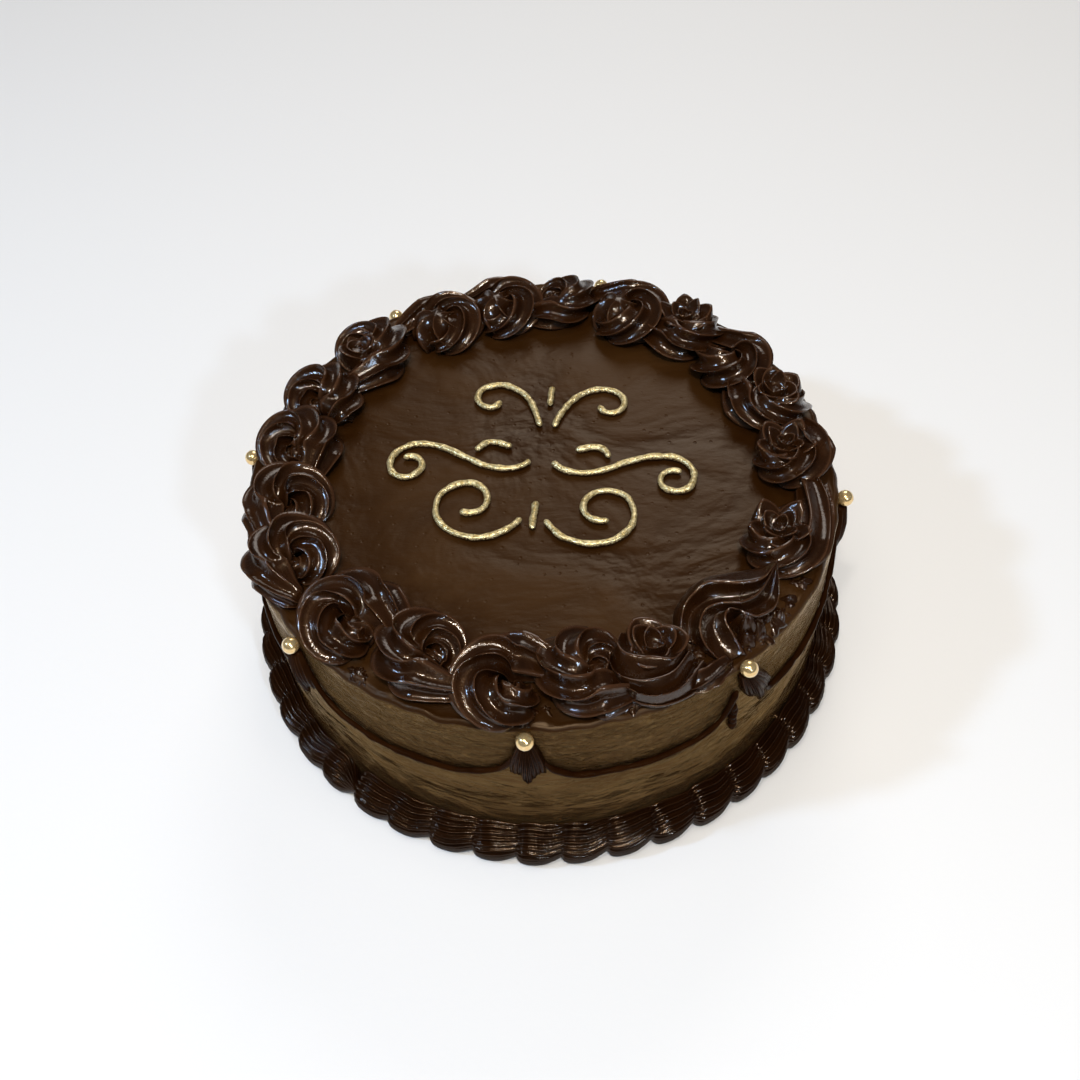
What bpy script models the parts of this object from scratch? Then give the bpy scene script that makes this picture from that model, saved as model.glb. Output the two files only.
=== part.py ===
"""Chocolate fudge cake, whole and uncut, iced with ganache.

Sizes are in metres and +Z is up. The origin is the middle of the cake's base, and its front faces -Y.
Angles round the cake are in degrees, anticlockwise from +X as seen from above.
"""

import math
import random

import bmesh
import bpy
from mathutils import Vector

MM = 0.001
GAP = 0.3 * MM  # air between pieces that lie against each other

# The iced drum
DRUM_RADIUS = 117.0 * MM
DRUM_HEIGHT = 88.0 * MM
DRUM_SIDES = 72
RIM_ROUND = 2.5 * MM
FOOT_ROUND = 1.0 * MM

# Strings of icing that hang in swags on the drum's wall, from tassel to tassel
STRING_RADIUS = 1.25 * MM
STRING_CENTRE_RADIUS = DRUM_RADIUS + 0.3 * MM
STRING_SIDES = 6
STRING_STEPS = 11
SWAG_TOP = 71.5 * MM
SWAG_BOTTOM = 56.5 * MM
SWAG_START = 4.6  # degrees from a tassel's middle to the end of a string
RUNNEL_TOP = 66.5 * MM
RUNNEL_FOOT = 50.0 * MM
RUNNEL_STEPS = 7
RUNNEL_AWAY = 1.5  # degrees between the runnel and the pearl above it

# Pearls pressed in under the rim, each above a tassel
PEARL_ANGLES = (-95.4, -55.4, -10.0, 34.5, 73.8, 120.4, 169.6, 217.7)
PEARL_RADIUS = 3.2 * MM
PEARL_RING = 118.8 * MM
PEARL_HEIGHT = 84.6 * MM
RAISED_PEARLS = {1: 4.2 * MM}  # place in PEARL_ANGLES of the pearls that sit higher, with their tassels
SOCKET_RADIUS = 3.75 * MM
RUNNEL_TASSEL = 1  # place in PEARL_ANGLES of the tassel that the runnel hangs beside
LEANING_TASSELS = {1: 4.8}  # how far a tassel's foot swings anticlockwise, in degrees

# Tassels: ribbed drops of icing on the wall
TASSEL_TOP = 80.9 * MM
TASSEL_FOOT = 51.5 * MM
TASSEL_HALF_WIDTH = 6.8 * MM
TASSEL_DEPTH = 4.6 * MM
TASSEL_EDGE = 0.6 * MM
TASSEL_RIBS = 5
TASSEL_ROWS = 6
TASSEL_RIB_DEPTH = 0.16  # share of the depth

# Base border: a ring of ribbed shells that overlap, piped anticlockwise
SHELLS = 44
SHELL_START = -131.0
BORDER_BACK = DRUM_RADIUS + GAP
BORDER_CENTRE = 118.5 * MM
BORDER_WIDTH = 9.25 * MM
BORDER_RISE = 13.0 * MM
BORDER_AXIS_HEIGHT = 7.8 * MM
BORDER_RIBS = 6
BORDER_RIB_DEPTH = 0.035
SHELL_STATIONS = ((0.0, 0.80), (0.16, 1.0), (0.62, 0.96))  # place along the shell, size there

# Piped rosettes: angle, ring radius and turn of each (1 anticlockwise, -1 clockwise), and its eye
ROSETTES = (
    (-51.7, 101.0, -1, "peak"),
    (-69.8, 101.0, 1, "crown"),
    (-85.1, 100.5, 1, "sunken"),
    (-102.2, 102.0, -1, "sunken"),
    (-118.1, 100.0, 1, "sunken"),
    (-135.8, 101.5, -1, "sunken"),
    (-156.9, 101.5, 1, "sunken"),
    (-173.9, 100.0, 1, "sunken"),
    (169.5, 98.5, -1, "sunken"),
    (152.6, 99.5, -1, "sunken"),
    (133.2, 98.0, -1, "sunken"),
    (113.5, 98.0, 1, "bud"),
    (96.8, 98.5, 1, "bud"),
    (79.9, 98.0, -1, "sunken"),
    (63.3, 98.5, 1, "bud"),
    (45.7, 98.5, -1, "crown"),
    (30.4, 99.5, 1, "sunken"),
    (13.2, 99.0, -1, "crown"),
    (-4.1, 98.5, 1, "crown"),
    (-25.9, 98.0, 1, "crown"),
)
ROPE_RADIUS = 8.3 * MM  # the icing rope that a rosette is coiled from, over its ridges
ROPE_VALLEY = 0.76  # its radius between two ridges, as a share
ROPE_RIDGES = 6
ROSETTE_PRESS = 1.12  # how far a rosette would reach past the plane where its neighbour meets it
COIL_RADIUS = 6.9 * MM  # from a rosette's eye to the middle of its rope
ROSETTE_SEAT = DRUM_HEIGHT + GAP
SECTION_ANGLES = (-60, -25, 10, 45, 80, 105, 125)  # stations over the rope, from its foot to the eye
EYE_HEIGHTS = {"sunken": 7.5 * MM, "bud": 13.0 * MM, "crown": 13.5 * MM, "peak": 15.5 * MM}
ROSETTE_UNEVEN = 0.035
ROSETTE_SEED = 11

# Gilded scrolls on the top: start, heading, length, bend at either end in degrees a mm, and its easing
SCROLLS = {
    "crest": ((2.8, 24.0), 76, 60, -0.8, -14.5, 1.8),
    "vine": ((4.5, 5.0), -56, 98, 5.6, -12.6, 1.0),
    "comma": ((13.0, 11.5), 30, 17, -1.0, -13.0, 1.0),
    "base": ((4.5, -25.0), -62, 92, 2.8, 9.6, 2.2),
}
DROPS = {
    "crest_drop": ((0.0, 36.0), 90, 11),
    "pendant": ((0.0, -16.0), -90, 14),
}
SCROLL_TILT = -9.0
SCROLL_RADIUS = 1.45 * MM
SCROLL_POINT_SPACING = 3.4  # mm
SCROLL_MIN_POINTS = 5

# Colours are linear RGB
GANACHE = ("ganache", (0.040, 0.0135, 0.0045), 0.22, 0.0)
PIPED_GANACHE = ("piped_ganache", (0.030, 0.010, 0.0035), 0.20, 0.0)
PEARL = ("pearl", (0.78, 0.52, 0.20), 0.18, 0.6)
GILT = ("gilt", (0.55, 0.42, 0.16), 0.38, 0.7)


def clear_scene():
    for item in list(bpy.data.objects):
        bpy.data.objects.remove(item, do_unlink=True)


def material(name, colour, roughness, metallic):
    made = bpy.data.materials.get(name) or bpy.data.materials.new(name)
    made.use_nodes = True
    shader = made.node_tree.nodes["Principled BSDF"]
    shader.inputs["Base Color"].default_value = (*colour, 1.0)
    shader.inputs["Roughness"].default_value = roughness
    shader.inputs["Metallic"].default_value = metallic
    made.diffuse_color = (*colour, 1.0)
    return made


def on_ring(angle, radius, height=0.0):
    """The point at an angle in degrees and a radius round the cake's axis."""
    turn = math.radians(angle)
    return Vector((radius * math.cos(turn), radius * math.sin(turn), height))


def add_object(name, mesh, look, origin=(0.0, 0.0, 0.0)):
    made = bpy.data.objects.new(name, mesh)
    made.location = origin
    mesh.materials.append(material(*look))
    bpy.context.scene.collection.objects.link(made)
    return made


def skinned(name, rings, look, origin=(0.0, 0.0, 0.0), looped=False, tips=(None, None), sharp=40):
    """A closed object through rings of points, its ends capped, drawn to a tip, or joined in a loop."""
    builder = bmesh.new()
    rows = [[builder.verts.new(point) for point in ring] for ring in rings]
    pairs = list(zip(rows, rows[1:]))
    if looped:
        pairs.append((rows[-1], rows[0]))
    for first, second in pairs:
        for i in range(len(first)):
            j = (i + 1) % len(first)
            builder.faces.new((first[i], first[j], second[j], second[i]))
    for row, tip in ((rows[0], tips[0]), (rows[-1], tips[1])):
        if looped:
            break
        if tip is None:
            builder.faces.new(row)
            continue
        point = builder.verts.new(tip)
        for i in range(len(row)):
            builder.faces.new((row[i], row[(i + 1) % len(row)], point))
    bmesh.ops.recalc_face_normals(builder, faces=builder.faces)
    mesh = bpy.data.meshes.new(name)
    builder.to_mesh(mesh)
    builder.free()
    mesh.shade_smooth()
    mesh.set_sharp_from_angle(angle=math.radians(sharp))
    return add_object(name, mesh, look, origin)


def icosphere(name, radius, look, origin):
    builder = bmesh.new()
    bmesh.ops.create_icosphere(builder, subdivisions=2, radius=radius)
    mesh = bpy.data.meshes.new(name)
    builder.to_mesh(mesh)
    builder.free()
    mesh.shade_smooth()
    return add_object(name, mesh, look, origin)


def gathered(name, items):
    """A collection that holds the items alone, for a Boolean."""
    made = bpy.data.collections.new(name)
    bpy.context.scene.collection.children.link(made)
    for item in items:
        bpy.context.scene.collection.objects.unlink(item)
        made.objects.link(item)
    return made


def apply_boolean(target, items, operation):
    """Joins the items to the target, or cuts them from it, and removes them."""
    group = gathered(f"{target.name}_{operation.lower()}", items)
    boolean = target.modifiers.new(operation.lower(), "BOOLEAN")
    boolean.operation = operation
    boolean.operand_type = "COLLECTION"
    boolean.collection = group
    boolean.solver = "EXACT"
    bpy.context.view_layer.objects.active = target
    bpy.ops.object.modifier_apply(modifier=boolean.name)
    for item in items:
        bpy.data.objects.remove(item, do_unlink=True)
    bpy.data.collections.remove(group)


def rounded_corner(radius, height, size, start, steps=3):
    """Points (radius, height) of a quarter round inside a corner, from the start angle onward."""
    centre = (radius - size, height - size if start == 0 else height + size)
    points = []
    for i in range(steps + 1):
        turn = math.radians(start + 90 * i / steps)
        points.append((centre[0] + size * math.cos(turn), centre[1] + size * math.sin(turn)))
    return points


def build_drum():
    profile = rounded_corner(DRUM_RADIUS, 0.0, FOOT_ROUND, -90, steps=1)
    profile += rounded_corner(DRUM_RADIUS, DRUM_HEIGHT, RIM_ROUND, 0)
    rings = []
    for radius, height in profile:
        rings.append([on_ring(360 * i / DRUM_SIDES, radius, height) for i in range(DRUM_SIDES)])
    return skinned("cake_body", rings, GANACHE)


def tube_on_wall(name, path, look):
    """A string of icing along points (angle, height) on the wall, with its ends drawn to tips."""
    centres = [on_ring(angle, STRING_CENTRE_RADIUS, height) for angle, height in path]
    rings = []
    for i in range(1, len(centres) - 1):
        along = (centres[i + 1] - centres[i - 1]).normalized()
        outward = Vector((centres[i].x, centres[i].y, 0.0)).normalized()
        across = along.cross(outward).normalized()
        ring = []
        for side in range(STRING_SIDES):
            turn = 2 * math.pi * side / STRING_SIDES
            offset = outward * math.cos(turn) + across * math.sin(turn)
            ring.append(centres[i] + offset * STRING_RADIUS)
        rings.append(ring)
    return skinned(name, rings, look, tips=(centres[0], centres[-1]))


def swag_paths():
    """The hanging strings, one between each two tassels, and the runnel beside one tassel."""
    paths = []
    for i, angle in enumerate(PEARL_ANGLES):
        last = PEARL_ANGLES[(i + 1) % len(PEARL_ANGLES)]
        if last < angle:
            last += 360
        start = angle + SWAG_START + 0.6 * LEANING_TASSELS.get(i, 0.0)
        span = last - SWAG_START - start
        path = []
        for step in range(STRING_STEPS + 1):
            share = step / STRING_STEPS
            drop = 1 - (2 * share - 1) ** 4
            path.append((start + span * share, SWAG_TOP - (SWAG_TOP - SWAG_BOTTOM) * drop))
        paths.append(path)
    side = PEARL_ANGLES[RUNNEL_TASSEL] - RUNNEL_AWAY
    runnel = []
    for step in range(RUNNEL_STEPS + 1):
        height = RUNNEL_TOP - (RUNNEL_TOP - RUNNEL_FOOT) * step / RUNNEL_STEPS
        runnel.append((side - 0.25 * (step % 2), height))
    paths.append(runnel)
    return paths


def pearl_centre(i):
    return on_ring(PEARL_ANGLES[i], PEARL_RING, PEARL_HEIGHT + RAISED_PEARLS.get(i, 0.0))


def build_cake_body():
    drum = build_drum()
    strings = [tube_on_wall(f"string_{i}", path, GANACHE) for i, path in enumerate(swag_paths())]
    apply_boolean(drum, strings, "UNION")
    places = range(len(PEARL_ANGLES))
    sockets = [icosphere(f"socket_{i}", SOCKET_RADIUS, GANACHE, pearl_centre(i)) for i in places]
    apply_boolean(drum, sockets, "DIFFERENCE")
    drum.data.shade_smooth()
    drum.data.set_sharp_from_angle(angle=math.radians(40))


def build_pearls():
    for i in range(len(PEARL_ANGLES)):
        icosphere(f"pearl_{i + 1}", PEARL_RADIUS, PEARL, pearl_centre(i))


def tassel_ring(angle, lean, raised, drop):
    """One level of a tassel: the wall side first, then the ribbed front. Drop runs from 0 to 1."""
    height = raised + TASSEL_TOP + (TASSEL_FOOT - TASSEL_TOP) * drop
    half_width = TASSEL_HALF_WIDTH * (0.42 + 0.58 * math.sin(0.5 * math.pi * min(1.0, 1.25 * drop)))
    depth = TASSEL_DEPTH * math.sin(math.pi * (0.22 + 0.62 * drop))
    middle = angle + lean * drop
    columns = 2 * TASSEL_RIBS
    back = []
    front = []
    for i in range(columns + 1):
        across = 2 * i / columns - 1
        turn = middle + math.degrees(across * half_width / DRUM_RADIUS)
        rib = 1 - TASSEL_RIB_DEPTH * (i % 2 == 0)
        swell = TASSEL_EDGE + (depth - TASSEL_EDGE) * math.sqrt(max(0.0, 1 - across**2)) * rib
        front.append(on_ring(turn, DRUM_RADIUS + GAP + swell, height))
        if i in (0, columns):
            back.append(on_ring(turn, DRUM_RADIUS + GAP, height))
    return [back[1], back[0]] + front


def build_tassels():
    for i, angle in enumerate(PEARL_ANGLES):
        lean = LEANING_TASSELS.get(i, 0.0)
        raised = RAISED_PEARLS.get(i, 0.0)
        rings = [tassel_ring(angle, lean, raised, row / (TASSEL_ROWS - 1)) for row in range(TASSEL_ROWS)]
        skinned(f"tassel_{i + 1}", rings, PIPED_GANACHE)


def border_section(angle, size):
    """The border's outline at one angle: back edge, then the ribbed front from the floor up."""
    ring = [on_ring(angle, BORDER_BACK, 0.0)]
    lowest = -math.degrees(math.asin(BORDER_AXIS_HEIGHT / BORDER_RISE))
    points = 2 * BORDER_RIBS
    for i in range(points + 1):
        slope = math.radians(lowest + (90 - lowest) * i / points)
        rib = 1 - BORDER_RIB_DEPTH * (i % 2)
        radius = BORDER_CENTRE + size * rib * BORDER_WIDTH * math.cos(slope)
        height = size * (BORDER_AXIS_HEIGHT + rib * BORDER_RISE * math.sin(slope))
        ring.append(on_ring(angle, radius, height if i else 0.0))
    ring.append(on_ring(angle, BORDER_BACK, size * (BORDER_AXIS_HEIGHT + BORDER_RISE) - GAP))
    return ring


def build_base_border():
    pitch = 360 / SHELLS
    rings = []
    for shell in range(SHELLS):
        for place, size in SHELL_STATIONS:
            rings.append(border_section(SHELL_START + pitch * (shell + place), size))
    skinned("base_border", rings, PIPED_GANACHE, looped=True)


def pressed_back(point, neighbours):
    """Moves a plan point back to the plane half-way to each neighbour, less half the gap."""
    for toward in neighbours:
        limit = toward.length / 2 - GAP / 2
        direction = toward.normalized()
        beyond = point.dot(direction) - limit
        if beyond > 0:
            point = point - direction * beyond
    return point


def stretched(point, ahead, behind):
    """Lengthens a plan point along the ring, so that the coil's rope reaches to its neighbours."""
    reach = COIL_RADIUS + ROPE_RADIUS
    along = ahead.normalized()
    side = point.dot(along)
    half = (ahead if side > 0 else behind).length / 2
    factor = max(1.0, ROSETTE_PRESS * half / reach)
    return point + along * side * (factor - 1)


def build_rosette(number, centre, turn, eye, ahead, behind, rng):
    """A coiled rope of icing: its ridges climb from the foot, over the top and into the eye."""
    swell = 1 + rng.uniform(-ROSETTE_UNEVEN, ROSETTE_UNEVEN)
    phase = rng.uniform(0, 360)
    points = 2 * ROPE_RIDGES
    axis_height = -ROPE_RADIUS * math.sin(math.radians(SECTION_ANGLES[0]))
    rings = []
    for level, section in enumerate(SECTION_ANGLES):
        ring = []
        for i in range(points):
            rope = ROPE_RADIUS * swell * (1 if i % 2 else ROPE_VALLEY)
            azimuth = math.radians(phase + 360 * i / points + turn * section)
            radius = COIL_RADIUS + rope * math.cos(math.radians(section))
            plan = Vector((radius * math.cos(azimuth), radius * math.sin(azimuth)))
            plan = pressed_back(stretched(plan, ahead, behind), (ahead, behind))
            height = axis_height + rope * math.sin(math.radians(section)) if level else 0.0
            if level == len(SECTION_ANGLES) - 1 and eye != "sunken" and i % 2:
                height = EYE_HEIGHTS[eye]
            ring.append(Vector((plan.x, plan.y, height)))
        rings.append(ring)
    eye_tip = Vector((0.0, 0.0, EYE_HEIGHTS[eye] - (3 * MM if eye == "crown" else 0.0)))
    skinned(f"rosette_{number:02d}", rings, PIPED_GANACHE, origin=centre, tips=(None, eye_tip))


def build_rosettes():
    rng = random.Random(ROSETTE_SEED)
    centres = [on_ring(angle, ring * MM, ROSETTE_SEAT) for angle, ring, _, _ in ROSETTES]
    for i, (_, _, turn, eye) in enumerate(ROSETTES):
        ahead = (centres[i - 1] - centres[i]).to_2d()
        behind = (centres[(i + 1) % len(centres)] - centres[i]).to_2d()
        build_rosette(i + 1, centres[i], turn, eye, ahead, behind, rng)


def scroll_path(start, heading, length, bend_in, bend_out, ease):
    """Points of a scroll in mm. Its bend goes from bend_in to bend_out, in degrees a mm."""
    count = max(SCROLL_MIN_POINTS, round(length / SCROLL_POINT_SPACING))
    fine = 8
    step = length / (count * fine)
    point = Vector(start)
    direction = math.radians(heading)
    path = [point.copy()]
    for i in range(count * fine):
        share = (i + 0.5) / (count * fine)
        direction += math.radians((bend_in + (bend_out - bend_in) * share**ease) * step)
        point = point + Vector((math.cos(direction), math.sin(direction))) * step
        if (i + 1) % fine == 0:
            path.append(point.copy())
    return path


def build_scroll(name, path, mirrored):
    """A round strand of icing along a path on the cake's top, turned by the ornament's tilt."""
    curve = bpy.data.curves.new(name, "CURVE")
    curve.dimensions = "3D"
    curve.bevel_depth = SCROLL_RADIUS
    curve.bevel_resolution = 1
    curve.use_fill_caps = True
    spline = curve.splines.new("POLY")
    spline.points.add(len(path) - 1)
    tilt = math.radians(SCROLL_TILT)
    height = DRUM_HEIGHT + GAP + SCROLL_RADIUS
    for i, place in enumerate(path):
        x = -place.x if mirrored else place.x
        across = x * math.cos(tilt) - place.y * math.sin(tilt)
        along = x * math.sin(tilt) + place.y * math.cos(tilt)
        spline.points[i].co = (across * MM, along * MM, height, 1.0)
        spline.points[i].radius = 0.7 if i in (0, len(path) - 1) else 1.0
    made = bpy.data.objects.new(name, curve)
    curve.materials.append(material(*GILT))
    bpy.context.scene.collection.objects.link(made)


def build_ornament():
    for name, (start, heading, length, bend_in, bend_out, ease) in SCROLLS.items():
        path = scroll_path(start, heading, length, bend_in, bend_out, ease)
        build_scroll(f"scroll_{name}_right", path, False)
        build_scroll(f"scroll_{name}_left", path, True)
    for name, (start, heading, length) in DROPS.items():
        build_scroll(f"scroll_{name}", scroll_path(start, heading, length, 0.0, 0.0, 1.0), False)


def main():
    clear_scene()
    build_cake_body()
    build_base_border()
    build_tassels()
    build_pearls()
    build_rosettes()
    build_ornament()


main()
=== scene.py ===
"""The finish of a chocolate fudge cake: glossy ganache, piped icing, sugar pearls and gilded scrolls.

Metres, +Z up, in the solid model's frame. Angles round the cake are in degrees, anticlockwise from +X
as seen from above, and the front of the cake faces -Y.
"""

import math

import bpy
import numpy as np
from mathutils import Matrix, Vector, noise


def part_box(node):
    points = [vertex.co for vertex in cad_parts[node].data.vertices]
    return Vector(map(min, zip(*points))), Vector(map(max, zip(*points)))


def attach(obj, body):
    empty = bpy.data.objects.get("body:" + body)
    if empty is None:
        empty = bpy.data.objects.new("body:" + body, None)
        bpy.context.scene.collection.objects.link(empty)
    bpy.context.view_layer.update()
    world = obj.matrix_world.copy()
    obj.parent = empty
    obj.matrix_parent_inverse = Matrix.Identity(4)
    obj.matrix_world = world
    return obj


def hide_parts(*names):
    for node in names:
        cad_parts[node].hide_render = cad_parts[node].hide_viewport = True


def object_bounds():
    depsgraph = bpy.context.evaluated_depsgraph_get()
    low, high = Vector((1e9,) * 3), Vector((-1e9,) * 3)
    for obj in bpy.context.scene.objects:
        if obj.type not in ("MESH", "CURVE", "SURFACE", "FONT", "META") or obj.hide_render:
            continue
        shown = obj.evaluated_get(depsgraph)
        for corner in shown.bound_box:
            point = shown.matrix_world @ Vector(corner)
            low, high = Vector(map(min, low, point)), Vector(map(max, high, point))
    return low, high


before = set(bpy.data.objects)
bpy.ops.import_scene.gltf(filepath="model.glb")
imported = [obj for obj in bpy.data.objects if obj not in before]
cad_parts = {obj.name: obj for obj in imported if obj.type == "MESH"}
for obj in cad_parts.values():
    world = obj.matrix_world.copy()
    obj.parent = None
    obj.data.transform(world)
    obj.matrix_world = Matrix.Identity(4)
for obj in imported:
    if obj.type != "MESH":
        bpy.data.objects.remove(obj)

cad_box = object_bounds()

MM = 0.001
BODY = "root"

# The iced drum, and the highest that the piping may reach
DRUM_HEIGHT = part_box("cake_body")[1].z
DRUM_REACH = 117.0  # its radius, mm
DRUM_RADIUS = DRUM_REACH * MM
TOP_LIMIT = cad_box[1][2]

# Camera: the photograph's view, from the front and above, with a slight roll
CAMERA_PLACE = (0.0, -325.09 * MM, 449.35 * MM)
CAMERA_TURN = (38.761, 2.520, -2.779)  # degrees round X, Y and Z
CAMERA_LENS = 40.91  # mm
SENSOR = 36.0  # mm

# Floor and light
FLOOR_RADIUS = 6.0
FLOOR_SIDES = 96
FLOOR_COLOUR = (0.676, 0.66, 0.636)
WORLD_COLOUR = (0.95, 0.97, 1.0)
WORLD_STRENGTH = 0.06
LIGHT_TARGET = (0.0, 0.0, 0.05)
# Name, azimuth and elevation in degrees, distance and size in metres, watts, colour, mirrored or not
LIGHTS = (
    ("key_warm", -84, 64, 1.5, 0.10, 10.0, (1.0, 0.93, 0.82), True),
    ("key_left", -112, 70, 1.5, 0.10, 3.6, (1.0, 0.95, 0.88), True),
    ("key_cool", -168, 48, 1.5, 0.12, 8.5, (0.44, 0.66, 1.0), True),
    ("key_low", -66, 38, 1.6, 0.10, 7.0, (0.56, 0.74, 1.0), True),
    ("soft_back", 78, 41, 2.0, 0.9, 8.5, (1.0, 0.97, 0.93), True),
    ("soft_top", -100, 80, 3.2, 2.8, 56, (1.0, 0.955, 0.905), False),
)


# ---- helpers

def polar(angle, radius, height=0.0):
    """The point at an angle and a distance from the cake's axis."""
    turn = math.radians(angle)
    return Vector((radius * math.cos(turn), radius * math.sin(turn), height))


def circle(count):
    """Angles of that many even steps round a circle."""
    return np.linspace(0, 2 * math.pi, count, endpoint=False)


def smooth(low, high, value):
    """Rises smoothly from 0 at low to 1 at high."""
    share = np.clip((value - low) / (high - low), 0.0, 1.0)
    return share * share * (3 - 2 * share)


def wobble(count, waves, seed):
    """A smooth random run of numbers between about -1 and 1, with that many waves in it."""
    rng = np.random.default_rng(seed)
    knots = rng.uniform(-1, 1, waves + 4)
    at = np.linspace(1, waves + 2, count)
    index = np.clip(np.floor(at).astype(int), 1, waves + 1)
    ease = smooth(0.0, 1.0, at - index)
    return knots[index] * (1 - ease) + knots[index + 1] * ease


def looped_wobble(count, waves, seed):
    """The same as wobble, but its end meets its start."""
    rng = np.random.default_rng(seed)
    turn = circle(count)
    total = np.zeros(count)
    for wave in range(1, waves + 1):
        total += rng.normal() * np.cos(wave * turn + rng.uniform(0, 2 * math.pi)) / math.sqrt(waves)
    return total


def round_points(reach, turn, level):
    """Points from their distances to an upright axis, angles round it in radians, and levels."""
    return np.stack(np.broadcast_arrays(reach * np.cos(turn), reach * np.sin(turn), level), axis=-1)


def mesh_object(name, points, faces, look, attributes=None):
    """A smooth-shaded mesh piece that carries the named point attributes."""
    mesh = bpy.data.meshes.new(name)
    mesh.from_pydata([tuple(p) for p in points], [], faces)
    for key, values in (attributes or {}).items():
        layer = mesh.attributes.new(key, "FLOAT", "POINT")
        layer.data.foreach_set("value", np.asarray(values, np.float32))
    mesh.shade_smooth()
    made = bpy.data.objects.new(name, mesh)
    bpy.context.scene.collection.objects.link(made)
    mesh.materials.append(look)
    return made


def capped_grid(rings, first=0):
    """Points and faces of a tube of rings, each end closed by a fan round its middle."""
    rows, columns, _ = rings.shape
    ends = np.stack([rings[0].mean(axis=0), rings[-1].mean(axis=0)])
    last = first + (rows - 1) * columns
    middle = first + rows * columns
    faces = []
    for here in range(first, last, columns):
        there = here + columns
        for j in range(columns):
            k = (j + 1) % columns
            faces.append((here + j, here + k, there + k, there + j))
    for j in range(columns):
        k = (j + 1) % columns
        faces.append((first + k, first + j, middle))
        faces.append((last + j, last + k, middle + 1))
    return np.concatenate([rings.reshape(-1, 3), ends]), faces


def joined_grids(grids):
    """Points and faces of several capped tubes in one mesh."""
    points = []
    faces = []
    first = 0
    for rings in grids:
        some, more = capped_grid(rings, first)
        points.append(some)
        faces += more
        first += len(some)
    return np.concatenate(points), faces


def with_ends(shares, end=0.0):
    """Shares of a capped tube's points: those of its rings, and one for the middles of its ends."""
    return np.concatenate([np.ravel(shares), [end, end]])


def place(piece, node):
    """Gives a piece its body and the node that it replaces."""
    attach(piece, BODY)
    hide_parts(node)


# ---- materials

class Nodes:
    """Short names for building a material's node tree."""

    def __init__(self, name):
        self.material = bpy.data.materials.new(name)
        self.material.use_nodes = True
        self.tree = self.material.node_tree
        self.position = self.make("NewGeometry").outputs["Position"]

    def fill(self, node, values):
        """Links or sets the node's inputs of those names."""
        for key, value in values.items():
            socket = node.inputs[key.replace("_", " ")]
            if isinstance(value, bpy.types.NodeSocket):
                self.tree.links.new(value, socket)
            else:
                socket.default_value = value

    def make(self, kind, **values):
        node = self.tree.nodes.new(f"ShaderNode{kind}")
        self.fill(node, values)
        return node

    def shade(self, **values):
        self.fill(self.tree.nodes["Principled BSDF"], values)

    def attribute(self, name):
        node = self.make("Attribute")
        node.attribute_name = name
        return node.outputs["Fac"]

    def scaled(self, x, y, z):
        return self.make("Mapping", Vector=self.position, Scale=(x, y, z)).outputs["Vector"]

    def noise(self, scale, detail=3.0, rough=0.5, distortion=0.0, vector=None):
        kind = {"Scale": scale, "Detail": detail, "Roughness": rough, "Distortion": distortion}
        return self.make("TexNoise", Vector=vector or self.position, **kind).outputs["Fac"]

    def cells(self, scale):
        return self.make("TexVoronoi", Vector=self.position, Scale=scale).outputs["Distance"]

    def remap(self, value, low, high, to_low=0.0, to_high=1.0):
        ends = {"From_Min": low, "From_Max": high, "To_Min": to_low, "To_Max": to_high}
        return self.make("MapRange", Value=value, **ends).outputs["Result"]

    def math(self, operation, *values):
        node = self.make("Math")
        node.operation = operation
        for socket, value in zip(node.inputs, values):
            self.tree.links.new(value, socket)
        return node.outputs["Value"]

    def mix(self, share, *colours):
        node = self.make("Mix")
        node.data_type = "RGBA"
        first, second = ((*colour, 1.0) if isinstance(colour, tuple) else colour for colour in colours)
        self.fill(node, {"Factor": share, "A": first, "B": second})
        return node.outputs["Result"]

    def bump(self, height, distance, strength=1.0, over=None):
        node = self.make("Bump", Height=height, Distance=distance, Strength=strength)
        if over is not None:
            self.fill(node, {"Normal": over})
        return node.outputs["Normal"]


def piped_look(name, shade, coat, level, rough):
    """Piped ganache: dark, glossy, with small broken highlights, and its thin ridges coloured lighter,
    partly their own tone and partly painted highlight.
    """
    n = Nodes(name)
    # The third colour, edge, lightens the ridges: partly the thin crests' own tone, partly painted highlight
    # where light catches and shines through them.
    dark, light, edge = (
        tuple(shade * c for c in colour)
        for colour in ((0.0135, 0.0040, 0.0008), (0.023, 0.0072, 0.0016), (0.062, 0.025, 0.0105))
    )
    patch = n.remap(n.noise(90, 3), 0.35, 0.65)
    ridge = n.remap(n.attribute("ridge"), 0.6, 1.0)
    grain = n.bump(n.noise(1300, 2), 0.00011, 0.7)
    ripple = n.bump(n.noise(520, 3, 0.6), 0.00016, 0.5, grain)
    n.shade(Base_Color=n.mix(ridge, n.mix(patch, dark, light), edge))
    n.shade(Roughness=n.remap(n.noise(260, 2), 0.3, 0.7, rough, rough + 0.12))
    n.shade(Normal=n.bump(n.noise(200, 2, 0.5, 0.4), 0.0005, 0.45, ripple))
    n.shade(Specular_Tint=(1.0, 0.64, 0.38, 1.0), Specular_IOR_Level=level, IOR=1.46)
    n.shade(Coat_Weight=coat, Coat_Roughness=0.03, Coat_Normal=ripple)
    return n.material


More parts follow.
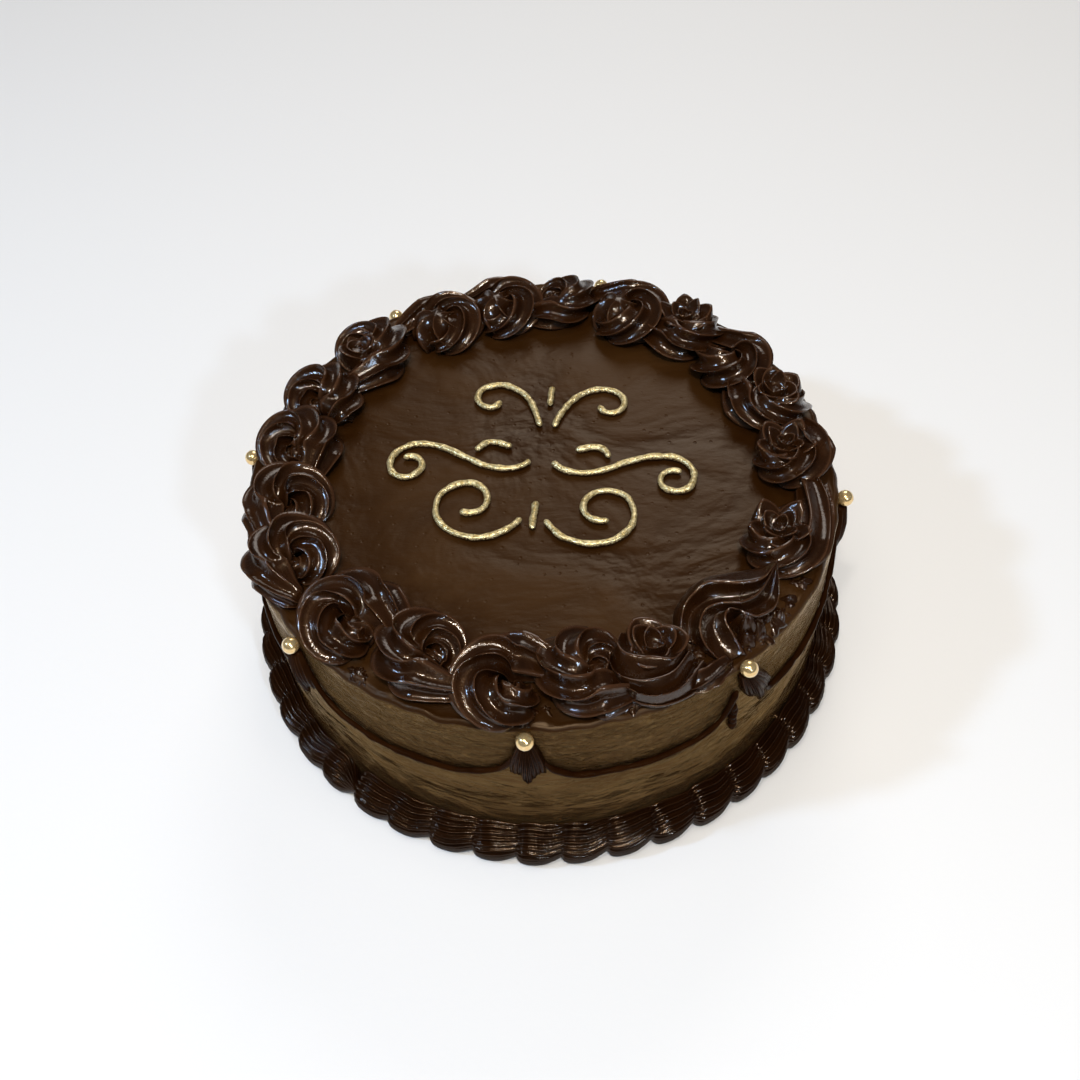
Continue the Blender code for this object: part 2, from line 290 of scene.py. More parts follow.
def wall_look():
    """Poured ganache on the wall: glossy, with pits and wrinkles above the swags, painted sheen in
    horizontal patches and painted golden glints on the torn part.
    """
    n = Nodes("ganache_wall")
    # Lighter golden-brown patches stretched along the wall: painted sheen.
    painted_sheen = n.remap(n.noise(26, 5, 0.62, 0.3, n.scaled(1.0, 1.0, 3.2)), 0.47, 0.62)
    rough = n.attribute("rough")
    torn = n.noise(230, 5, 0.68, 0.6, n.scaled(1.0, 1.0, 1.6))
    # Light golden flecks on the torn part above the swags: painted glints.
    speck = n.remap(n.noise(640, 4, 0.65), 0.50, 0.66)
    glint_spots = n.math("MULTIPLY", n.remap(torn, 0.44, 0.58), speck)
    painted_glints = n.math("MULTIPLY", glint_spots, n.remap(rough, 0, 1, 0.2, 1))
    sheen_tinted_base = n.mix(painted_sheen, (0.064, 0.033, 0.0115), (0.088, 0.049, 0.0185))
    n.shade(Base_Color=n.mix(painted_glints, sheen_tinted_base, (0.150, 0.090, 0.036)))
    n.shade(Roughness=n.remap(n.noise(120, 2), 0.3, 0.7, 0.06, 0.15))
    pits = n.math("MULTIPLY", n.remap(n.cells(260), 0.04, 0.22), rough)
    wrinkle = n.math("MULTIPLY", torn, n.remap(rough, 0, 1, 0.25, 1))
    pitted = n.bump(pits, 0.0005, 0.6, n.bump(n.noise(500, 3), 0.00015, 0.3))
    flow = n.noise(34, 3, 0.5, 0.4, n.scaled(1.0, 1.0, 2.2))
    n.shade(Normal=n.bump(flow, 0.006, 0.5, n.bump(wrinkle, 0.0018, 0.7, pitted)))
    n.shade(Specular_Tint=(1.0, 0.74, 0.40, 1.0), Specular_IOR_Level=0.10, IOR=1.46, Metallic=0.5)
    return n.material


def top_look():
    """Poured ganache on the top: satin, drawn out with a spatula."""
    n = Nodes("ganache_top")
    smear = n.noise(20, 4, 0.5, 0.5, n.scaled(0.9, 1.1, 1.0))
    stroke = n.noise(75, 4, 0.6, 0.3, n.scaled(0.6, 1.4, 1.0))
    patch = n.remap(smear, 0.38, 0.62)
    n.shade(Base_Color=n.mix(patch, (0.0155, 0.0048, 0.0006), (0.0275, 0.0102, 0.0020)))
    n.shade(Roughness=n.remap(smear, 0.3, 0.7, 0.30, 0.50))
    pits = n.remap(n.cells(210), 0.05, 0.16)
    pitted = n.bump(pits, 0.0004, 0.35, n.bump(n.noise(420, 3), 0.0002, 0.35))
    n.shade(Normal=n.bump(smear, 0.0078, 0.5, n.bump(stroke, 0.0013, 0.3, pitted)))
    n.shade(Specular_Tint=(1.0, 0.74, 0.48, 1.0), Specular_IOR_Level=0.30, IOR=1.46)
    return n.material


def pearl_look():
    """A sugar pearl with a pale gold pearlescent coat."""
    n = Nodes("pearl")
    patch = n.remap(n.noise(900, 3), 0.35, 0.65)
    n.shade(Base_Color=n.mix(patch, (0.80, 0.52, 0.20), (0.92, 0.70, 0.36)))
    n.shade(Roughness=n.remap(n.noise(700, 2), 0.3, 0.7, 0.16, 0.26))
    n.shade(Normal=n.bump(n.noise(600, 2), 0.0002, 0.3))
    n.shade(Metallic=0.8, Coat_Weight=0.8, Coat_Roughness=0.06)
    return n.material


def gilt_look():
    """A chocolate strand brushed with gold dust on its upper side."""
    n = Nodes("gilt")
    speckle = n.noise(1500, 4, 0.7)
    cover = n.math("ADD", n.attribute("upper"), n.remap(speckle, 0.2, 0.8, -0.55, 0.45))
    gold = n.remap(cover, 0.50, 0.66)
    tone = n.mix(n.remap(n.noise(700, 2), 0.3, 0.7), (0.44, 0.31, 0.11), (0.86, 0.72, 0.40))
    n.shade(Base_Color=n.mix(gold, (0.045, 0.018, 0.007), tone))
    n.shade(Roughness=n.remap(gold, 0, 1, 0.24, 0.32))
    n.shade(Metallic=n.remap(gold, 0, 1, 0, 0.7))
    n.shade(Normal=n.bump(n.noise(900, 3), 0.0006, 0.8))
    return n.material


# ---- stage

def make_camera():
    camera = bpy.data.objects.new("camera", bpy.data.cameras.new("camera"))
    camera.data.lens = CAMERA_LENS
    camera.data.sensor_width = SENSOR
    camera.data.clip_start = 0.01
    camera.location = CAMERA_PLACE
    camera.rotation_euler = [math.radians(turn) for turn in CAMERA_TURN]
    bpy.context.scene.collection.objects.link(camera)
    bpy.context.scene.camera = camera


def area_light(name, azimuth, elevation, distance, size, power, colour, glossy):
    """A round light that faces the cake."""
    light = bpy.data.lights.new(name, "AREA")
    light.shape = "DISK"
    light.size = size
    light.energy = power
    light.color = colour
    made = bpy.data.objects.new(name, light)
    flat = distance * math.cos(math.radians(elevation))
    made.location = polar(azimuth, flat, distance * math.sin(math.radians(elevation)))
    made.rotation_euler = (made.location - Vector(LIGHT_TARGET)).to_track_quat("Z", "Y").to_euler()
    made.visible_glossy = glossy
    bpy.context.scene.collection.objects.link(made)


def make_stage():
    """Soft studio light and a plain pale floor."""
    world = bpy.data.worlds.new("studio")
    world.use_nodes = True
    background = world.node_tree.nodes["Background"]
    background.inputs["Color"].default_value = (*WORLD_COLOUR, 1.0)
    background.inputs["Strength"].default_value = WORLD_STRENGTH
    bpy.context.scene.world = world
    bpy.context.scene.view_settings.view_transform = "Standard"

    for facts in LIGHTS:
        area_light(*facts)

    n = Nodes("floor")
    n.shade(Base_Color=(*FLOOR_COLOUR, 1.0), Roughness=0.75)
    n.shade(Normal=n.bump(n.noise(400, 2), 0.0002, 0.2))
    rim = [polar(360 * i / FLOOR_SIDES, FLOOR_RADIUS) for i in range(FLOOR_SIDES)]
    floor = mesh_object("floor", rim, [tuple(range(FLOOR_SIDES))], n.material)


# ---- the iced drum

BODY_COLUMNS = 400
BODY_EDGE_ROUND = 2.4 * MM
WALL_SINK = 0.7  # how far the finished wall stays inside the drum's radius, mm
TOP_SINK = 0.35  # how far the finished top stays under the drum's height, mm
# Where the poured icing is heaped by the rim: middle angle, half width in degrees, height in mm
HEAPS = ((-46.0, 5.0, 2.6), (-125.5, 3.0, 1.6), (-36.0, 2.5, 1.5), (-92.5, 2.2, 1.2), (-77.0, 2.2, 1.2))
# Scraps of broken icing on the top: angle, ring radius, radius and height in mm
BIG_SCRAPS = (
    (-49.4, 105.6, 5.2, 8.4), (-47.8, 109.0, 4.4, 5.6), (-51.4, 109.8, 4.0, 4.0), (-45.2, 110.5, 4.4, 3.4),
    (-42.6, 111.5, 3.4, 2.6), (-60.5, 98.5, 3.4, 3.0), (-59.0, 102.0, 3.0, 2.6), (-38.6, 110.5, 3.2, 2.2),
)
# Fields of small scraps: middle angle, half width, inner and outer ring radius, count
SCRAP_FIELDS = (
    (-46.0, 6.5, 104.0, 113.5, 30), (-36.0, 3.0, 108.0, 113.0, 9), (-60.0, 1.6, 95.0, 103.0, 8),
    (-126.5, 3.0, 109.0, 113.5, 8), (-93.5, 2.5, 108.0, 113.5, 7), (-77.0, 2.0, 109.0, 113.5, 5),
)
# Each swag hangs from pearl to pearl, with a gap at each end
PEARL_ANGLES = (-95.4, -55.4, -10.0, 34.5, 73.8, 120.4, 169.6, 217.7)
SWAG_ENDS = (*PEARL_ANGLES, PEARL_ANGLES[0] + 360)
SWAG_TOP = 71.0  # mm over the floor
SWAG_DROP = 15.5
SWAG_HOOK = 7.5  # how much higher its ends are drawn up to the pearls, mm
SWAG_GAP = 1.3  # degrees
STRING_RADIUS = 1.3 * MM
STRING_STEPS = 130
STRING_COLUMNS = 12
# The second tassel leans to the right as it falls, and the swag beside it starts further off
LEANING_TASSEL = 2
TASSEL_LEAN = 4.8  # degrees
LEANING_GAP = 2.9
# A beaded runnel of icing, just left of that tassel
RUNNEL_AWAY = 1.5  # degrees
RUNNEL_TOP = 67.0
RUNNEL_LENGTH = 16.5
RUNNEL_STEPS = 90


def drum_profile():
    """(radius, height) from the base's middle, up the wall and over the top."""
    rows = [(r, 0.0) for r in np.linspace(4, 116, 8) * MM]
    rows += [(DRUM_RADIUS, height) for height in np.linspace(0.3 * MM, DRUM_HEIGHT - BODY_EDGE_ROUND, 56)]
    for turn in np.radians(np.linspace(12, 90, 9)):
        rows.append((
            DRUM_RADIUS - BODY_EDGE_ROUND * (1 - math.cos(turn)),
            DRUM_HEIGHT - BODY_EDGE_ROUND * (1 - math.sin(turn)),
        ))
    rows += [(radius, DRUM_HEIGHT) for radius in np.linspace(113.6, 3, 84) * MM]
    return np.array(rows)


def swag_height(angle):
    """Height of the swag at an angle, in mm."""
    ends = np.array(SWAG_ENDS)
    angle = (angle - ends[0]) % 360 + ends[0]
    index = np.clip(np.searchsorted(ends, angle, side="right") - 1, 0, len(PEARL_ANGLES) - 1)
    share = (angle - ends[index]) / (ends[index + 1] - ends[index])
    return SWAG_TOP - SWAG_DROP * (1 - np.abs(2 * share - 1) ** 4)


def drum_rings(profile):
    """The drum's sections: its wall a little out of true, and its rim ragged."""
    turn = circle(BODY_COLUMNS)
    ragged = looped_wobble(BODY_COLUMNS, 70, 3)
    lips = looped_wobble(BODY_COLUMNS, 60, 5)
    waves = looped_wobble(BODY_COLUMNS, 9, 4)
    rings = np.zeros((len(profile), BODY_COLUMNS, 3))
    for i, (radius, height) in enumerate(profile):
        on_wall = smooth(20 * MM, 80 * MM, height) * smooth(80 * MM, 110 * MM, radius)
        near_rim = smooth(108 * MM, 114 * MM, radius) * smooth(82 * MM, 86.5 * MM, height)
        bulge = 0.5 * math.sin(math.pi * min(1.0, height / (60 * MM))) ** 2
        inset = (WALL_SINK - bulge) * smooth(80 * MM, 116 * MM, radius)
        reach = radius - on_wall * (0.15 * waves + 0.15) * MM - inset * MM
        reach = reach - near_rim * (0.36 * ragged) * MM
        level = height + near_rim * (0.42 * lips - TOP_SINK) * MM
        rings[i] = round_points(reach, turn, level)
    return rings


def top_relief(x, y):
    """How far the poured top rises at a place, in mm: swells, and lumps and heaps by the rim."""
    ring = math.hypot(x, y)
    angle = math.degrees(math.atan2(y, x))
    swell = noise.fractal(Vector((x * 14, y * 22, 0.3)), 1.0, 2.0, 3)
    lumps = noise.fractal(Vector((x * 150, y * 150, 2.0)), 0.7, 2.0, 4)
    ledge = float(smooth(106 * MM, 112 * MM, ring))
    heaped = sum(rise * math.exp(-((angle - middle) / width) ** 2) for middle, width, rise in HEAPS)
    heap = float(smooth(100 * MM, 106 * MM, ring)) * heaped * (0.6 + 0.7 * lumps)
    return 0.3 * max(-1.0, min(1.0, swell)) - TOP_SINK + ledge * 0.55 * lumps + heap


def make_body(wall, top):
    """The poured icing: one closed skin, with its own finish on the wall and on the top."""
    profile = drum_profile()
    rings = drum_rings(profile)
    flat = rings.reshape(-1, 3)
    for index in np.flatnonzero(np.repeat(profile[:, 1] >= DRUM_HEIGHT, BODY_COLUMNS)):
        flat[index, 2] += top_relief(*flat[index, :2]) * MM
    points, faces = capped_grid(rings)
    swag = swag_height(np.degrees(np.arctan2(points[:, 1], points[:, 0])))
    rough = smooth(-2, 5, points[:, 2] / MM - swag)
    body = mesh_object("cake_icing", points, faces, wall, {"rough": rough})
    body.data.materials.append(top)
    # The faces run ring by ring, and those of the two ends follow, one of each in turn
    rim_row = int(np.flatnonzero(profile[:, 1] > DRUM_HEIGHT - 1.6 * MM)[0])
    on_top = np.zeros(len(faces), np.int32)
    on_top[rim_row * BODY_COLUMNS:(len(profile) - 1) * BODY_COLUMNS] = 1
    on_top[-BODY_COLUMNS * 2 + 1::2] = 1
    body.data.polygons.foreach_set("material_index", on_top)
    place(body, "cake_body")


def lump(centre, radius, height, rng):
    """A jagged scrap of icing that sits on the top."""
    rows, columns = 8, 24
    turn = circle(columns)
    bumps = looped_wobble(columns, 5, rng.integers(1000))
    long = rng.uniform(0.55, 1.0)
    lie = rng.uniform(0, math.pi)
    rings = []
    for level in np.linspace(0, 1, rows):
        size = radius * math.sqrt(1.02 - level) * (1 + 0.30 * bumps * (1 - 0.5 * level))
        x = size * np.cos(turn)
        y = size * np.sin(turn) * long
        z = height * level * (1 + 0.22 * np.roll(bumps, 4))
        rings.append(np.stack([
            centre.x / MM + x * math.cos(lie) - y * math.sin(lie),
            centre.y / MM + x * math.sin(lie) + y * math.cos(lie),
            DRUM_HEIGHT / MM - 0.4 + z,
        ], axis=1))
    return np.array(rings) * MM


def make_broken(look):
    """Icing that broke up where the piping was pressed and dragged over the rim."""
    rng = np.random.default_rng(21)
    scraps = [(polar(angle, ring * MM), radius, height) for angle, ring, radius, height in BIG_SCRAPS]
    for middle, width, inner, outer, count in SCRAP_FIELDS:
        for _ in range(count):
            angle = middle + width * rng.uniform(-1, 1)
            size = rng.uniform(1.2, 3.2)
            spot = polar(angle, rng.uniform(inner, outer) * MM)
            scraps.append((spot, size, size * rng.uniform(0.35, 0.7)))
    points, faces = joined_grids(lump(*scrap, rng) for scrap in scraps)
    broken = mesh_object("broken_icing", points, faces, look, {"ridge": np.zeros(len(points))})
    place(broken, "cake_body")


def string_rings(angle, height, size):
    """Sections of a string along a run of angles and heights (mm) on the wall."""
    angle = np.radians(angle)
    outward = round_points(1.0, angle, 0.0)
    middle = outward * (DRUM_RADIUS + 0.25 * MM)
    middle[:, 2] = height * MM
    along = np.gradient(middle, axis=0)
    along /= np.linalg.norm(along, axis=1, keepdims=True)
    across = np.cross(along, outward)
    across /= np.linalg.norm(across, axis=1, keepdims=True)
    turn = circle(STRING_COLUMNS)[None, :, None]
    section = np.cos(turn) * outward[:, None, :] + np.sin(turn) * across[:, None, :]
    return middle[:, None, :] + (STRING_RADIUS * size)[:, None, None] * section


def swag_string(number):
    """Sections of the swag from the pearl of that number to the next."""
    share = np.linspace(0, 1, STRING_STEPS)
    start = SWAG_ENDS[number - 1] + SWAG_GAP
    if number == LEANING_TASSEL:
        start += LEANING_GAP
    along = start + (SWAG_ENDS[number] - SWAG_GAP - start) * share
    hook = SWAG_HOOK * np.clip(1 - np.minimum(share, 1 - share) / 0.10, 0, 1) ** 2
    height = swag_height(along) + hook + 0.6 * wobble(STRING_STEPS, 10, 39 + number)
    size = 0.86 + 0.2 * wobble(STRING_STEPS, 22, 59 + number)
    size *= smooth(0, 0.01, share) * smooth(0, 0.01, 1 - share) * 0.7 + 0.3
    return string_rings(along, height, size)


def runnel():
    """Sections of the beaded runnel beside the leaning tassel."""
    share = np.linspace(0, 1, RUNNEL_STEPS)
    height = RUNNEL_TOP - RUNNEL_LENGTH * share
    angle = PEARL_ANGLES[LEANING_TASSEL - 1] - RUNNEL_AWAY + 0.3 * wobble(RUNNEL_STEPS, 6, 80)
    return string_rings(angle, height, 0.86 + 0.42 * np.abs(np.sin(share * 16)))


def make_strings(look):
    """The swags' strings of icing and the runnel."""
    swags = [swag_string(number) for number in range(1, len(SWAG_ENDS))]
    points, faces = joined_grids([*swags, runnel()])
    strings = mesh_object("icing_strings", points, faces, look, {"ridge": np.zeros(len(points))})
    place(strings, "cake_body")


# ---- piped rosettes

# A rosette is a rope of icing from a star nozzle, coiled round an eye and drawn on under the next.
# Its own plan is (forward along the ring, outward) in mm. The coil starts ahead of the eye, and its
# first, back and last sides each have a reach (middle line from the eye, radius of the rope).
ROSETTE = {
    "before": 50.0,  # how far before forward the coil starts, degrees
    "start": (3.5, 5.0),
    "back": (12.2, 9.8),
    "tail": 17.0,  # length of the tail, mm
    "tail_bend": 1.0,  # how the tail turns towards the ring's middle, degrees a mm
    "thin": 0.45,  # size of the tail's end over that of the coil
    "grow": 1.0,  # size of the coil over the usual one
    "phase": 0.0,  # turn of the star in the nozzle, radians; 0 leaves it to chance
    "crown": (),  # cups of petals in the eye: radius, height, number of petals, dip between them
    "bud": (5.4, 6.8),  # radius and height of a ribbed dome in the eye
    "fins": (),  # lines along a scroll instead of a coil
    "nested": (),  # lines along a swirl's bands instead of a coil
}
COILS = {  # what an anticlockwise (1) and a clockwise coil (-1) have of their own
    1: {"eye": (5.5, -3.0), "first": (7.6, 8.6), "last": (10.6, 9.6)},
    -1: {"eye": (5.5, 2.0), "first": (6.4, 8.2), "last": (12.0, 9.6)},
}
# A scroll that is pulled up to a spike, as lines from its start to the spike, mm (forward, outward,
# height): its shoulder on the inner side, three fins with a hollow between each two, and its foot
SPIKED = (
    ((-17.0, -6.6, 3.0), (-15.2, -10.4, 4.0), (-11.0, -14.0, 6.0), (-3.6, -16.2, 7.5),
     (4.2, -16.6, 8.0), (13.0, -12.0, 8.5), (21.5, -6.0, 9.5), (24.8, -1.6, 15.0)),
    ((-16.7, -4.3, 3.0), (-15.4, -7.9, 6.0), (-10.6, -11.8, 9.0), (-5.4, -13.2, 11.0),
     (2.5, -12.3, 13.0), (9.6, -4.9, 13.0), (17.2, -0.4, 13.2), (24.4, -0.7, 15.7)),
    ((-14.8, -1.8, 1.0), (-13.3, -6.0, 2.5), (-8.4, -10.0, 5.0), (-2.0, -9.8, 6.5),
     (3.2, -6.7, 7.0), (9.2, -2.3, 7.5), (15.9, 0.6, 9.0), (24.4, -0.7, 15.3)),
    ((-12.9, 10.0, 1.5), (-14.6, 3.7, 6.0), (-13.0, -1.6, 10.0), (-7.6, -4.9, 12.5),
     (-1.6, -3.2, 13.4), (3.7, 1.2, 13.4), (12.2, 2.7, 13.2), (24.2, -0.6, 15.7)),
    ((-9.7, 11.0, 0.8), (-9.4, 5.1, 3.0), (-7.1, -0.6, 5.5), (-2.9, -3.0, 7.5),
     (2.6, 0.2, 8.0), (8.4, 4.0, 7.0), (16.6, 4.4, 7.5), (24.3, -0.5, 15.0)),
    ((-4.5, 12.2, 1.5), (-4.4, 7.5, 6.0), (-3.5, 1.8, 9.5), (0.0, -0.5, 11.0),
     (3.4, 3.8, 10.4), (7.6, 7.7, 8.0), (16.4, 8.0, 8.6), (24.3, -0.3, 15.7)),
    ((-3.8, 13.1, 0.0), (-1.4, 8.1, 0.0), (1.3, 2.2, 0.0), (4.3, 0.6, 0.0),
     (6.2, 3.4, 0.0), (10.0, 6.6, 0.0), (18.4, 6.2, 0.0), (26.5, -0.6, 0.0)),
)
# Power of the share of the way by which the height goes from each line to the next; with a minus, the
# power of the share that is left
SPIKED_BENDS = (0.6, -1.9, 1.9, -1.9, 1.9, -1.9)
# A swirl of nested bands, as lines from its left end round the front to its right end, mm (forward,
# outward, height): its foot, the bands' edges from the lowest to the innermost, and the eye's floor
NESTED = (
    ((-15.5, -2.7, 0.0), (-15.8, 3.2, 0.0), (-13.2, 9.0, 0.0), (-8.4, 13.4, 0.0),
     (-1.6, 15.2, 0.0), (8.6, 15.0, 0.0), (19.2, 12.4, 0.0)),
    ((-15.8, -2.2, 2.4), (-16.2, 3.4, 3.4), (-14.3, 8.8, 4.4), (-10.4, 14.0, 4.8),
     (-4.0, 16.9, 4.6), (6.6, 16.3, 4.2), (17.6, 11.0, 3.0)),
    ((-15.2, -1.6, 5.5), (-15.5, 3.3, 7.5), (-14.2, 7.8, 9.0), (-11.0, 12.2, 9.3),
     (-5.8, 15.3, 9.3), (3.4, 14.8, 8.8), (14.4, 8.0, 7.5)),
    ((-12.0, -8.6, 8.0), (-15.1, -4.5, 10.0), (-15.7, 1.7, 11.0), (-12.7, 6.1, 11.3),
     (-7.1, 9.3, 11.3), (2.0, 9.6, 11.0), (11.7, 3.1, 9.0)),
    ((-7.4, -11.7, 11.0), (-10.7, -7.0, 13.0), (-10.0, -2.2, 13.6), (-6.0, 1.0, 13.8),
     (-1.3, 3.8, 14.0), (4.0, 6.5, 13.6), (10.1, 2.8, 11.0)),
    ((-2.2, -12.3, 6.0), (-3.9, -10.0, 6.0), (-3.3, -7.7, 6.0), (-0.5, -5.4, 6.0),
     (2.7, -3.6, 6.0), (6.5, -2.2, 6.0), (10.0, -2.3, 6.0)),
)
# Its tail: forward, outward and radius of the rope, mm
NESTED_TAIL = ((5.0, 12.5, 3.0), (11.0, 12.6, 4.6), (17.0, 11.6, 4.6), (26.0, 8.6, 2.4))
NESTED_DEPTHS = (0.0, 2.8, 4.6, 4.6, 0.0)  # how far the surface drops between each two edges, mm
# Share of the way from one edge to the next, and the share of that depth there
NESTED_DROP = (
    (0.0, 0.0), (0.07, 0.6), (0.16, 1.0), (0.28, 0.92), (0.42, 0.68), (0.58, 0.42), (0.74, 0.2), (0.9, 0.04),
)
# What rosettes of a kind have of their own
PULLED = {"fins": SPIKED, "bud": ()}
SWIRL = {
    "nested": NESTED,
    "crown": ((11.0, 13.8, 3, 0.22), (7.8, 15.2, 3, 0.28), (4.2, 15.0, 2, 0.3)),
    "eye": (1.6, -3.4),
    "bud": (),
}
STANDING = {"first": (6.6, 5.0), "back": (11.4, 7.6), "bud": ()}
TULIP = {**STANDING, "crown": ((11.2, 14.4, 5, 0.36), (7.0, 15.2, 4, 0.34), (3.2, 13.6, 2, 0.2))}
LONG_TULIP = {**TULIP, "tail": 32, "eye": (-1.0, -1.5), "last": (11.6, 9.4), "thin": 0.62, "phase": 0.3}
ROSE = {**STANDING, "crown": ((11.0, 12.8, 4, 0.22), (8.2, 14.4, 3, 0.28), (5.0, 15.2, 3, 0.30))}
BUDDED = {"first": (8.4, 6.2), "last": (11.4, 7.8), "before": -52, "bud": (11.2, 13.6), "eye": (4.0, -5.6)}
CUPPED = {"tail": 20, "last": (10.6, 9.0), "crown": ((9.4, 14.2, 3, 0.34), (5.6, 15.0, 2, 0.3))}
# Angle and ring radius of its middle, turn (1 anticlockwise, -1 clockwise) and what differs
ROSETTES = (
    (-51.7, 101.0, -1, PULLED),
    (-69.8, 101.0, 1, SWIRL),
    (-85.1, 101.0, 1, {"tail": 15, "eye": (6.5, -4.5), "last": (11.4, 9.6), "thin": 0.3}),
    (-102.4, 102.0, -1, {"eye": (8.0, 1.5), "grow": 1.05}),
    (-118.1, 100.0, 1, {"eye": (4.0, -4.0)}),
    (-136.6, 101.5, -1, {"eye": (4.5, 0.0), "grow": 1.08, "bud": (8.4, 8.4)}),
    (-156.9, 102.0, 1, {"eye": (2.5, -1.0), "tail_bend": 2.2}),
    (-173.9, 101.5, 1, {"eye": (5.5, -4.0)}),
    (169.5, 98.5, -1, {"eye": (3.0, 1.0), "tail": 15, "last": (10.6, 9.2), "tail_bend": 0.4}),
    (152.6, 99.5, -1, {"eye": (5.0, 0.0), "tail": 5, "last": (10.0, 8.6), "tail_bend": 3.0}),
    (133.2, 98.0, -1, CUPPED),
    (113.5, 98.0, 1, BUDDED),
    (96.8, 98.5, 1, BUDDED),
    (79.9, 97.0, -1, {"grow": 0.86}),
    (63.3, 98.5, 1, {**BUDDED, "back": (13.2, 10.6), "last": (12.0, 9.6)}),
    (45.7, 98.5, -1, TULIP),
    (30.4, 99.5, 1, {"last": (8.8, 8.8)}),
    (13.2, 99.0, -1, ROSE),
    (-4.1, 98.5, 1, TULIP),
    (-25.9, 98.0, 1, LONG_TULIP),
)
# The star rope
RIDGES = 6
RIDGE_STEPS = 10  # points from one ridge to the next
VALLEY = 0.46  # depth of its valleys over its radius
RIDGE_LEAN = 0.14  # how far its ridges lean over, radians
SQUASH = 0.84  # its height over its width
STATION = 0.5  # mm between two of its sections
CLEARANCE = 0.93  # how far towards the centre of a bend a section may reach, as a share
COIL_STEP = 2.5  # degrees
TAIL_STEP = 0.5  # mm
FIN_SECTIONS = 120
FIN_STEPS = 7  # from each line to the next
NESTED_SECTIONS = 110
# A cup of petals, up its outside and down its inside: shares of its radius, of its height and of the
# dip between two petals
CROWN = (
    (0.90, 0.0, 0.0), (1.0, 0.3, 0.05), (1.03, 0.55, 0.15), (1.02, 0.78, 0.45), (1.0, 0.92, 0.8),
    (0.98, 1.0, 1.0), (0.91, 0.985, 1.0), (0.82, 0.92, 0.9), (0.72, 0.82, 0.6), (0.58, 0.72, 0.3),
    (0.34, 0.66, 0.1), (0.16, 0.65, 0.0),
)
CROWN_COLUMNS = 72
# A ribbed dome: share of its radius and of its height
BUD = (
    (1.0, 0.0), (1.05, 0.22), (1.04, 0.42), (0.97, 0.60), (0.84, 0.76), (0.64, 0.88), (0.40, 0.96),
    (0.14, 1.0),
)


def eased(at, places, values):
    """Values between the given places, with the corners of the line through them rounded off."""
    line = np.interp(at, places, values)
    width = max(3, len(at) // 9)
    kernel = np.hanning(width + 2)[1:-1]
    padded = np.concatenate([np.full(width, line[0]), line, np.full(width, line[-1])])
    return np.convolve(padded, kernel / kernel.sum(), "same")[width:-width]


def coil_path(spec, turn):
    """Middle line and radius of the coil and its tail, in the rosette's own plan."""
    side = -turn
    swung = np.arange(-spec["before"], 270.01, COIL_STEP)
    reaches = zip(*(spec[part] for part in ("start", "first", "back", "last")))
    reach, radius = (eased(swung, (0, 90, 180, 270), values) * spec["grow"] for values in reaches)
    bearing = np.radians(side * swung)
    middle = np.stack([reach * np.cos(bearing), reach * np.sin(bearing)], axis=1) + np.array(spec["eye"])
    heading = math.atan2(*(middle[-1] - middle[-2])[::-1])
    here = middle[-1]
    tail = []
    for _ in range(int(spec["tail"] / TAIL_STEP)):
        heading += side * math.radians(spec["tail_bend"]) * TAIL_STEP
        here = here + TAIL_STEP * np.array([math.cos(heading), math.sin(heading)])
        tail.append(here)
    shrink = np.linspace(1, spec["thin"], len(tail)) * radius[-1]
    return np.concatenate([middle, np.array(tail)]), np.concatenate([radius, shrink])


def resample(points):
    """The same line with its stations evenly spaced, and their distances along it."""
    steps = np.linalg.norm(np.diff(points[:, :2], axis=0), axis=1)
    length = np.concatenate([[0], np.cumsum(steps)])
    at = np.linspace(0, length[-1], max(8, int(length[-1] / STATION)))
    return np.stack([np.interp(at, length, column) for column in points.T], axis=1), at


def star_section():
    """Section angles, closer together at the ridges, and how high on its ridge each point lies."""
    share = np.tile(np.arange(RIDGE_STEPS) / RIDGE_STEPS, RIDGES)
    ridge = np.repeat(np.arange(RIDGES), RIDGE_STEPS)
    places = ridge + share - 0.75 * np.sin(2 * math.pi * share) / (2 * math.pi)
    near = np.abs(2 * (places % 1.0) - 1)
    high = 0.6 * near**2 + 0.4 * near**8
    return places * 2 * math.pi / RIDGES, high


def rope_rings(middle, height, radius, side, phase, seed, limit):
    """Sections of a star rope along a plan line: its ridges keep their bearing as the rope turns."""
    count = len(middle)
    along = np.gradient(middle, axis=0)
    step = np.maximum(np.linalg.norm(along, axis=1), 1e-6)
    unit = along / step[:, None]
    heading = np.unwrap(np.arctan2(along[:, 1], along[:, 0]))
    turned = np.abs(heading - heading[0])
    out = np.stack([side * np.sin(heading), -side * np.cos(heading)], axis=1)
    places, high = star_section()
    drift = np.stack([wobble(count, 5, seed + k) for k in range(RIDGES)], axis=1)
    drift = np.repeat(0.10 * drift, RIDGE_STEPS, axis=1)
    angle = places + phase + turned[:, None] + RIDGE_LEAN * high**2 + 0.6 * drift
    size = radius[:, None] * (1 - VALLEY * (1 - high)) * (1 + drift * high)
    upward = SQUASH * size * np.sin(angle)
    bend = side * np.gradient(heading) / step
    inner = CLEARANCE / np.maximum(bend, 1e-3)
    outer = CLEARANCE / np.maximum(-bend, 1e-3)
    aside = np.clip(size * np.cos(angle), -inner[:, None], outer[:, None])
    tip = np.arctan(np.gradient(height) / step)[:, None]
    tipped = (upward * np.sin(tip))[:, :, None] * unit[:, None, :]
    plan = middle[:, None, :] + aside[:, :, None] * out[:, None, :] - tipped
    z = np.clip(height[:, None] + upward * np.cos(tip), 0.15, limit)
    return np.concatenate([plan, z[:, :, None]], axis=2), np.broadcast_to(high, (count, len(high)))


